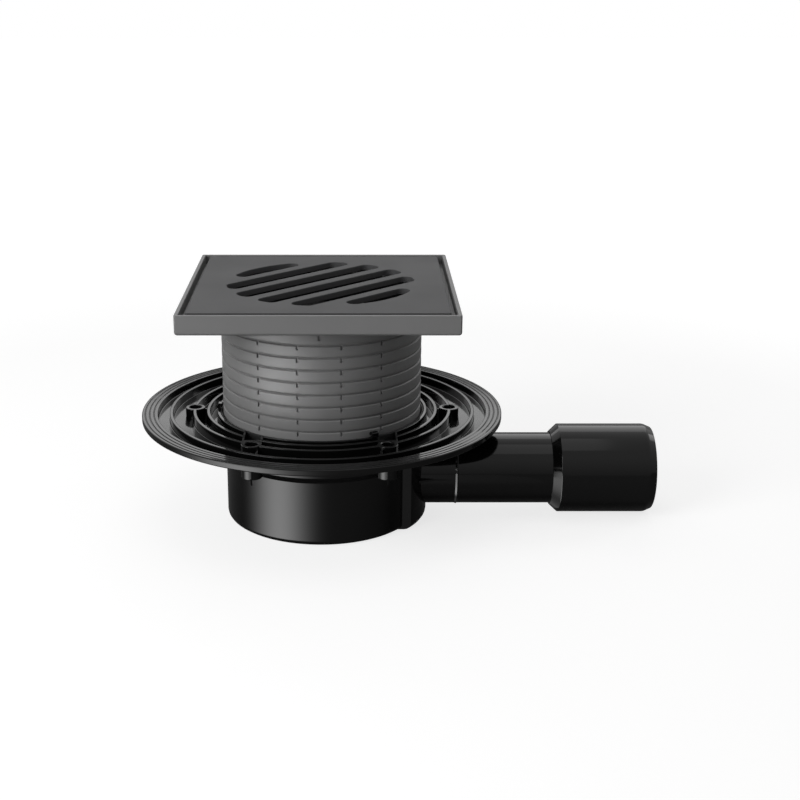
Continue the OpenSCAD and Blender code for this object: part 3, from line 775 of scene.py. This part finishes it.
    def execute(self, context):
        self.f, self.b = context.scene.gully_flange, context.scene.gully_bowl
        f, b = self.f, self.b
        self.ledge = 3 * MM
        self.rebate = f.neck + 1.3 * MM
        self.rim_out = self.rebate + 1.6 * MM
        self.seat = self.floor(self.rim_out) + 0.4 * MM
        self.boss_x, self.boss_y = f.boss_rib * np.array([0.5, math.sqrt(0.75)])
        self.pocket = f.boss - f.web / 2 - 0.1 * MM
        self.pocket_end = self.boss_y - f.boss - 1.5 * MM
        neck_out = f.neck + f.neck_wall
        chamber_top = self.floor(neck_out) - f.floor_thick / 2
        body = revolved("body_moulding", self.outline(), ROUND, closed=False)
        bulge = self.chamber(b.radius, 0, chamber_top, b.chamber, b.round / MM)
        combined(body, [bulge, self.pipe(), *self.pipe_webs()], "UNION")
        hollow = self.chamber(b.radius - b.wall, b.wall, b.shelf - self.ledge, b.chamber - b.wall,
                              1.5)
        combined(body, [revolved("inside", self.inside(), ROUND, closed=False), hollow,
                        self.pipe_bore(), self.pockets()], "DIFFERENCE")
        combined(body, [self.pocket_walls(), *self.webs(), self.bosses(), *self.fins(),
                        self.hooks(), self.shelf()], "UNION")
        combined(body, [self.boss_holes()], "DIFFERENCE")
        finished(body, "base", "body_black", finish(gloss_polypropylene), "body")
        return {"FINISHED"}


class GULLY_OT_riser(Operator):
    """Build the banded riser with its cutting lines and notches"""

    bl_idname = "gully.riser"
    bl_label = "Riser"

    foot_height = 1.2 * MM
    crown_height = 0.6 * MM
    notch_height = 2.15 * MM
    first_height = 3.65 * MM

    def rows(self, low, high):
        """Heights of the mesh's rows, between low and high: those of a line, its band and its
        notches' foot, repeated, those of the first notches' foot, and a few below the lines."""
        r, line_z = self.r, self.line_z
        band = np.concatenate([np.linspace(-1, 0, 4)[:-1] * r.groove_under,
                               np.linspace(0, 1, 7) * r.groove_over,
                               np.linspace(2.6, 5.2, 3) * MM,
                               np.array([-2.3, -2.2, -2.1, -2.0]) * MM])
        z = np.concatenate([(line_z[:, None] + band).ravel(),
                            line_z[0] + np.array([-3.8, -3.7, -3.6]) * MM,
                            np.linspace(low, line_z[-1] - r.groove_under, 4)])
        return np.unique(np.round(z[(z > low - TINY) & (z < high)], 6))

    def banded(self, z, high):
        """Radius at each height: a band is a low arch, and a cutting line is a V whose depth goes
        with its nearness, from nought to one, to the power 1.5."""
        r, line_z = self.r, self.line_z
        share = (line_z[0] - z) / r.pitch
        within = 1 - (share - np.floor(share))
        arch = np.abs(2 * np.clip(within, 0, 1) ** 1.4 - 1) ** 2
        top = (z - line_z[0]) / (high - line_z[0])
        arch = np.where(z > line_z[0], (2 * np.clip(top, 0, 1) - 1) ** 2, arch)
        arch = np.where(z < line_z[-1] - r.groove_under, 1, arch)
        gap = z[:, None] - line_z
        gap = (gap / np.where(gap > 0, r.groove_over, -r.groove_under)).min(1)
        return r.radius - r.bulge * arch - r.groove * np.clip(1 - gap, 0, 1) ** 1.5

    def columns(self):
        """Angles of the mesh's columns, whether each is nearest to a first notch, and how deep a
        notch is there, from nought to one. Notches stand on the front and on the back: one under
        the first line, and a row half a step round under each other line. Their sides slope from
        1.08 to 0.92 half widths, where columns are close together."""
        r = self.r
        step = 2 * np.pi / r.places
        column = np.arange(2 * r.places) * step / 2 - np.pi / 2
        half = r.notch / 2 / r.radius
        fine = np.array([-1.25, -1.08, -0.92, -0.5, 0, 0.5, 0.92, 1.08, 1.25]) * half
        wide = np.linspace(fine[-1], step / 2 - fine[-1], 6)[1:-1]
        angle = (column[:, None] + np.concatenate([fine, wide])).ravel()
        near = (angle[:, None] - column + np.pi) % (2 * np.pi) - np.pi
        which = np.abs(near).argmin(1)
        off = np.abs(near[np.arange(len(angle)), which]) / half
        first = which % 2 == 0
        from_middle = np.abs((column[which] + np.pi) % np.pi - np.pi / 2)
        reach = step / 2 * np.where(first, 0.5, r.notches - 0.5)
        deep = np.where(from_middle < reach, np.clip((1.08 - off) / 0.16, 0, 1), 0)
        return angle, first, deep

    def notched(self, z, radius, first, deep):
        """Radius at each column and height, with the notches sunk from their lines down."""
        r = self.r
        below = self.line_z - z[:, None]
        sunk = (below > -TINY) & (below < self.notch_height)
        sunk_first = (below[:, 0] > -TINY) & (below[:, 0] < self.first_height)
        cut = np.where(first[:, None], sunk_first, sunk[:, 1:].any(1)) * deep[:, None]
        return np.minimum(radius, radius * (1 - cut) + cut * (r.radius - r.notch_deep))

    def execute(self, context):
        self.r = r = context.scene.gully_riser
        low, high = (corner.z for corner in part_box("riser"))
        edge = r.radius - r.bulge
        floor = edge - r.groove
        inner = floor - r.wall
        lines = int((high - low - r.first - 3 * MM) / r.pitch) + 1
        self.line_z = high - r.first - r.pitch * np.arange(lines)
        z = self.rows(low + self.foot_height, high - self.crown_height)
        angle, first, deep = self.columns()
        outer = self.notched(z, self.banded(z, high), first, deep)

        foot = eased([(inner, low, 0.3), (floor - 0.4 * MM, low, 0.3),
                      (edge, low + self.foot_height, 0)])
        crown = eased([(edge, high - 0.8 * MM, 0), (edge, high, 0.5), (inner, high, 0.3),
                       (inner, low, 0)])
        wall = np.stack([outer, np.repeat(z[None], len(angle), 0)], 2)
        lower, upper = (np.repeat(end[None], len(angle), 0) for end in (foot[:-1], crown[1:-1]))
        across, up = np.moveaxis(np.concatenate([lower, wall, upper], 1), 2, 0)
        turn = angle[:, None]
        grid = np.stack([across * np.cos(turn), across * np.sin(turn), up], 2)
        finished(woven("riser_tube", grid), "riser", "riser_grey", finish(satin_abs), "riser")
        return {"FINISHED"}


class GULLY_OT_frame(Operator):
    """Build the square frame with its tray, throat and neck"""

    bl_idname = "gully.frame"
    bl_label = "Frame"

    def execute(self, context):
        s = context.scene.gully_frame
        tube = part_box("riser")[1].x
        low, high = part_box("frame")
        half, top, foot = high.x, high.z, low.z
        inner = half - s.wall
        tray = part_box("grate")[0].z
        under = tray - s.tray
        skirt = under - 3 * MM
        neck_out = tube - 3.4 * MM
        neck_in = neck_out - 2.4 * MM
        collar = tube + 0.5 * MM
        collar_out, lip, ease = collar + 2 * MM, skirt + 0.6 * MM, s.ease / MM
        profile = eased([
            (half, skirt, s.round / MM), (half, top, ease), (inner, top, ease), (inner, tray, 0.4),
            (s.throat, tray, 0.5), (neck_in, under - 1.5 * MM, 0.5), (neck_in, foot, 0.3),
            (neck_out - 0.8 * MM, foot, 0.3), (neck_out, foot + 2 * MM, 0.5),
            (neck_out, under, 0.2), (collar, under, 0.2), (collar, lip, 0.3),
            (collar_out, lip, 0.3), (collar_out, under, 0.3),
            (inner, under, 0.3), (inner, skirt, 0.5)])
        corners = np.clip(1 * MM - (half - profile[:, 0]) * 0.35, 0.3 * MM, 1 * MM)
        circles = profile[:, 0] < collar + 3 * MM
        tub = squared("frame_tray", profile, corners, circles)
        start = collar + 1 * MM
        ribs = []
        for k in range(16):
            angle = (k + 0.5) * math.tau / 16
            reach = (inner + 0.5 * MM) / max(abs(math.cos(angle)), abs(math.sin(angle))) - 0.8 * MM
            rib = plate("rib", oblong(start, reach, skirt + 1 * MM, under + 0.2 * MM), 1.6 * MM)
            ribs.append(copied(rib, [math.degrees(angle)]))
        combined(tub, ribs, "UNION")
        finished(tub, "frame", "frame_grey", finish(matt_abs), "frame")
        return {"FINISHED"}


class GULLY_OT_grate(Operator):
    """Build the grate with its rounded slots"""

    bl_idname = "gully.grate"
    bl_label = "Grate"

    def slot(self, middle):
        """Outline of one slot: the strip about middle, cut off by the slot circle, with its
        four corners rounded. Each corner's arc touches the strip's side and the circle."""
        s = self.s
        inner = s.slot_circle - s.slot_corner
        lo = max(middle - s.slot / 2 + s.slot_corner, -inner + TINY)
        hi = min(middle + s.slot / 2 - s.slot_corner, inner - TINY)
        t0, t1 = math.sqrt(inner ** 2 - lo ** 2), math.sqrt(inner ** 2 - hi ** 2)
        a0, a1 = math.atan2(t0, lo), math.atan2(t1, hi)
        arcs = [(hi, t1, s.slot_corner, 0, a1, 10), (0, 0, s.slot_circle, a1, a0, 14),
                (lo, t0, s.slot_corner, a0, math.pi, 10)]
        upper = []
        for x, y, radius, begin, end, count in arcs:
            angle = np.linspace(begin, end, count)
            upper.append(np.stack([x + radius * np.cos(angle), y + radius * np.sin(angle)], 1))
        upper = np.concatenate(upper)
        outline = np.concatenate([upper, upper[::-1] * (1, -1)])
        gap = np.linalg.norm(outline - np.roll(outline, 1, 0), axis=1)
        flat = np.pad(outline[gap > CLOSE], ((0, 0), (0, 1)))
        return turned(flat, s.slot_angle - math.pi / 2)[:, :2]

    def execute(self, context):
        self.s = s = context.scene.gully_frame
        low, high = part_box("grate")
        half, under = high.x, high.z - s.plate
        inner = half - s.skirt
        profile = eased([(0, high.z, 0), (half, high.z, 0.35), (half, low.z, 0.3),
                         (inner, low.z, 0.3), (inner, under, 0.6), (0, under, 0)])
        corners = np.clip(1.2 * MM - (half - profile[:, 0]) * 0.4, 0.2 * MM, 1.2 * MM)
        corners[profile[:, 0] < TINY] = 0
        grate = squared("grate_plate", profile, corners, profile[:, 0] < 0, closed=False)
        middles = (np.arange(s.slots) - (s.slots - 1) / 2) * s.slot_pitch
        slots = [pushed("slot", self.slot(middle), under - 1 * MM, high.z, flare=0.4 * MM)
                 for middle in middles]
        combined(grate, slots, "DIFFERENCE")
        finished(grate, "frame", "grate_graphite", finish(powder_coat), "grate")
        return {"FINISHED"}


class GULLY_OT_reducer(Operator):
    """Build the sleeve that brings the outlet up to the next pipe size"""

    bl_idname = "gully.reducer"
    bl_label = "Reducer"

    def execute(self, context):
        b = context.scene.gully_bowl
        low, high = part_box("reducer")
        start, end, radius = low.x, high.x, high.y
        socket, bevel = b.pipe + 0.15 * MM, 4.2 * MM
        bore, narrow, stop = radius - 3 * MM, b.pipe - b.pipe_wall, b.pipe_end + 2 * MM
        groove, groove_start, groove_end = socket + 2.05 * MM, start + 8 * MM, start + 13 * MM
        profile = eased([
            (socket, start, 0.3), (b.pipe + 0.9 * MM, start, 0.3),
            (radius, start + 4.4 * MM, 0.6), (radius, end - bevel, 5),
            (radius - bevel * 0.42, end - 0.2 * MM, 0.4), (radius - bevel * 0.5, end, 0.3),
            (bore, end, 0.3), (bore, stop, 0.4), (narrow, stop, 0.3), (narrow, b.pipe_end, 0.1),
            (socket, b.pipe_end, 0.1), (socket, groove_end, 0.1), (groove, groove_end, 0.2),
            (groove, groove_start, 0.2), (socket, groove_start, 0.1)], steps=6)
        sleeve = revolved("reducer_sleeve", profile, 256, along_x=b.pipe_height)
        finished(sleeve, "base", "body_black", finish(gloss_polypropylene), "reducer")
        return {"FINISHED"}


class GULLY_OT_seals(Operator):
    """Build the riser's lip seal, and finish the smaller seals and the trap insert"""

    bl_idname = "gully.seals"
    bl_label = "Seals and insert"

    def execute(self, context):
        f = context.scene.gully_flange
        low, high = (corner.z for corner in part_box("riser_seal"))
        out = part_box("riser_seal")[1].x
        inner, wipe, hollow = f.neck + 0.2 * MM, f.neck - 0.2 * MM, f.neck + 0.4 * MM
        profile = eased([
            (inner, low, 0.1), (out, low, 0.1), (out, high, 0.3), (inner, high, 0.3),
            (wipe, high - 1.1 * MM, 0.1), (hollow, high - 1.6 * MM, 0.2),
            (hollow, high - 3.1 * MM, 0.2), (wipe, high - 4 * MM, 0.1),
            (inner, high - 4.5 * MM, 0.1)])
        ring = revolved("riser_lip_seal", profile, 256)
        finished(ring, "base", "seal_rubber", finish(seal_rubber), "riser_seal")
        dressed = {"reducer_seal": seal_rubber, "insert_seal": seal_rubber,
                   "dip_tube": insert_polypropylene, "trap_cup": insert_polypropylene}
        for name, maker in dressed.items():
            mesh = frame["nodes"][name].data
            mesh.materials.clear()
            mesh.materials.append(finish(maker))
        return {"FINISHED"}


class GULLY_OT_stage(Operator):
    """Set the floor, the lamps and the camera"""

    bl_idname = "gully.stage"
    bl_label = "Stage"

    def seen(self, tree, mirrored):
        """One on rays from the camera or glass, mirrored on rays from a mirror, else nought."""
        path = node(tree, "LightPath").outputs
        glossy = worked(tree, "MULTIPLY", path["Is Glossy Ray"], mirrored)
        first = worked(tree, "MAXIMUM", path["Is Camera Ray"], glossy)
        return worked(tree, "MAXIMUM", first, path["Is Transmission Ray"])

    def sheet(self, name, corners, material):
        """A flat sheet with four corners."""
        piece = made(name, np.array(corners, float), [[0, 1, 2, 3]])
        piece.data.materials.append(material)
        return piece

    def floor(self, colours):
        """A level floor under the object. It takes the object's shadow, and its own glow rises
        with distance, so that it meets the white surroundings without an edge. In a mirror it is
        darker, most of all towards the back."""
        material, tree, place = new_material("pale_studio_floor")
        reach = vector_worked(tree, "LENGTH", place)["Value"]
        fade = carried(tree, reach, 0.4, 1.3, 0.75, 1.0)
        way = split(tree, node(tree, "NewGeometry").outputs["Incoming"])
        toward_front = carried(tree, way["Y"], 0.0, 0.95, 0.03, 0.4)
        level = worked(tree, "MULTIPLY", self.seen(tree, toward_front), fade)
        tint = mixed(tree, node(tree, "LightPath").outputs["Is Glossy Ray"],
                     scaled(colours.floor, 1), scaled(colours.floor, 0.35))
        paint = node(tree, "BsdfDiffuse", {"Color": tint}).outputs[0]
        output(tree, glowing(tree, level), paint)
        side = 4.0
        floor = self.sheet("floor", [(*corner, 0) for corner in oblong(-side, side, -side, side)],
                           material)

    def surroundings(self):
        """White where it is seen or mirrored, and a dim even light otherwise. In a mirror it is
        greyer near the horizon."""
        world = bpy.data.worlds.new("studio")
        bpy.context.scene.world = world
        world.use_nodes = True
        tree = world.node_tree
        tree.nodes.clear()
        dim, white = (node(tree, "Background", {"Color": WHITE, "Strength": strength}).outputs[0]
                      for strength in (0.22, 1.0))
        way = split(tree, node(tree, "TexCoord").outputs["Generated"])
        rise = carried(tree, way["Z"], 0.0, 0.7, 0.4, 1.0)
        both = node(tree, "MixShader", {0: self.seen(tree, rise), 1: dim, 2: white})
        output(tree, both.outputs[0], kind="World")

    def only_mirrored(self, piece):
        """Makes a stage piece show in reflections and nowhere else."""
        for ray in ("camera", "diffuse", "transmission", "shadow"):
            setattr(piece, "visible_" + ray, False)

    def low_card(self):
        """A louvred card on the floor, in front and to the left, that stands for a tall light on
        the front left. It adds a glow that falls off to both sides as the eighth power of the
        cosine of the ray's angle from the card's own way. The glow only shines at a low angle, or
        under the pipe on what faces left, which also gets a little light from straight below."""
        material, tree, place = new_material("low_glow_card")
        ray = node(tree, "NewGeometry").outputs["Incoming"]
        way, spot = split(tree, ray), split(tree, place)
        flat = vector_worked(tree, "MULTIPLY", ray, LEVEL)[0]
        level_way = vector_worked(tree, "NORMALIZE", flat)[0]
        own_way = (math.cos(CARD_WAY), math.sin(CARD_WAY), 0)
        along = vector_worked(tree, "DOT_PRODUCT", level_way, own_way)["Value"]
        beam = worked(tree, "POWER", worked(tree, "MAXIMUM", along, 0.0), 8.0)
        strip = worked(tree, "MULTIPLY", beam, 10.0)
        aside = worked(tree, "MULTIPLY", carried(tree, way["X"], 0.1, 0.3),
                       carried(tree, spot["X"], 0.03, 0.04))
        shown = worked(tree, "MAXIMUM", carried(tree, way["Z"], 0.65, 0.45), aside)
        level = worked(tree, "ADD", worked(tree, "MULTIPLY", strip, shown),
                       worked(tree, "MULTIPLY", aside, 0.35))
        output(tree, glowing(tree, level), node(tree, "BsdfTransparent").outputs[0])
        corners = [(*corner, 0.5 * MM) for corner in oblong(-0.4, 0.13, -0.4, 0.1)]
        self.only_mirrored(self.sheet("low_card", corners, material))

    def grey_flag(self):
        """A dim flag far behind the object, which keeps low reflections dark."""
        material, tree, _ = new_material("dim_flag_cloth")
        output(tree, glowing(tree, 0.33))
        corners = [(x, 0.9, z) for x, z in oblong(-2.0, 2.0, 0.0, 0.34)]
        self.only_mirrored(self.sheet("grey_flag", corners, material))

    def lamp(self, name, place, aim, width, height, watts):
        """A softbox at place, turned to the point on the riser's axis that is aim high."""
        light = bpy.data.lights.new(name, "AREA")
        light.shape = "RECTANGLE"
        light.size, light.size_y = width, height
        light.energy = watts
        lamp = bpy.data.objects.new(name, light)
        bpy.context.scene.collection.objects.link(lamp)
        away = np.array(place) - (0, 0, aim)
        away /= np.linalg.norm(away)
        lamp.rotation_euler = (math.acos(away[2]), 0, math.atan2(away[0], -away[1]))
        lamp.location = place
        lamp.visible_camera = False

    def execute(self, context):
        scene = context.scene
        self.floor(scene.gully_colours)
        self.surroundings()
        self.low_card()
        self.grey_flag()
        self.lamp("key_softbox", (-0.766, -0.69, 0.5), 0.08, 0.6, 0.7, 9.2)
        self.lamp("top_softbox", (0, -0.15, 1.1), 0.1, 0.7, 0.7, 1.2)
        self.lamp("back_softbox", (0, 1.25, 0.85), 0.08, 1.6, 1.1, 4.5)
        self.lamp("rim_softbox", (0.9, 0.5, 0.4), 0.08, 0.3, 0.6, 1.2)
        view = scene.gully_view
        camera = bpy.data.objects.new("camera", bpy.data.cameras.new("camera"))
        scene.collection.objects.link(camera)
        camera.location = (view.across, -view.back, view.height)
        camera.rotation_euler = (math.pi / 2 - view.pitch, 0, 0)
        camera.data.sensor_width = 36
        camera.data.lens = view.lens
        camera.data.shift_x, camera.data.shift_y = PICTURE_SHIFT
        camera.data.clip_start, camera.data.clip_end = 0.01, 50
        scene.camera = camera
        scene.view_settings.view_transform = "Standard"
        return {"FINISHED"}


class ViewSettings(PropertyGroup):
    """Place of the camera, which looks along +Y and down."""

    across: size("Across", "How far right of the riser's axis it stands", 18.54)
    back: size("Back", "How far in front of the riser's axis it stands", 756.7)
    height: size("Height", "Height above the floor", 311.6)
    pitch: slope("Pitch", "How far it looks down", 0.315)
    lens: FloatProperty(name="Lens", description="Focal length in millimetres", default=63.8)


class GULLY_PT_panel(Panel):
    """Lists the pieces and their sizes"""

    bl_idname = "GULLY_PT_panel"
    bl_label = "Gully trap"
    bl_space_type = "VIEW_3D"
    bl_region_type = "UI"
    bl_category = "Gully"

    def draw(self, context):
        for step in STEPS:
            self.layout.operator(step.bl_idname)
        for name in GROUPS:
            group = getattr(context.scene, name)
            box = self.layout.box()
            box.label(text=type(group).__doc__)
            for key in type(group).__annotations__:
                box.prop(group, key)


STEPS = (GULLY_OT_stage, GULLY_OT_body, GULLY_OT_riser, GULLY_OT_frame, GULLY_OT_grate,
         GULLY_OT_reducer, GULLY_OT_seals)
GROUPS = {"gully_flange": FlangeSizes, "gully_bowl": BowlSizes, "gully_riser": RiserSizes,
          "gully_frame": FrameSizes, "gully_colours": FinishColours, "gully_view": ViewSettings}


def register():
    for kind in (*GROUPS.values(), *STEPS, GULLY_PT_panel):
        bpy.utils.register_class(kind)
    for name, kind in GROUPS.items():
        setattr(bpy.types.Scene, name, PointerProperty(type=kind))


def unregister():
    for name in GROUPS:
        delattr(bpy.types.Scene, name)
    for kind in reversed((*GROUPS.values(), *STEPS, GULLY_PT_panel)):
        bpy.utils.unregister_class(kind)


def main():
    register()
    bpy.ops.gully.stage()
    bpy.ops.gully.body()
    bpy.ops.gully.riser()
    bpy.ops.gully.frame()
    bpy.ops.gully.grate()
    bpy.ops.gully.reducer()
    bpy.ops.gully.seals()


if __name__ == "__main__":
    main()
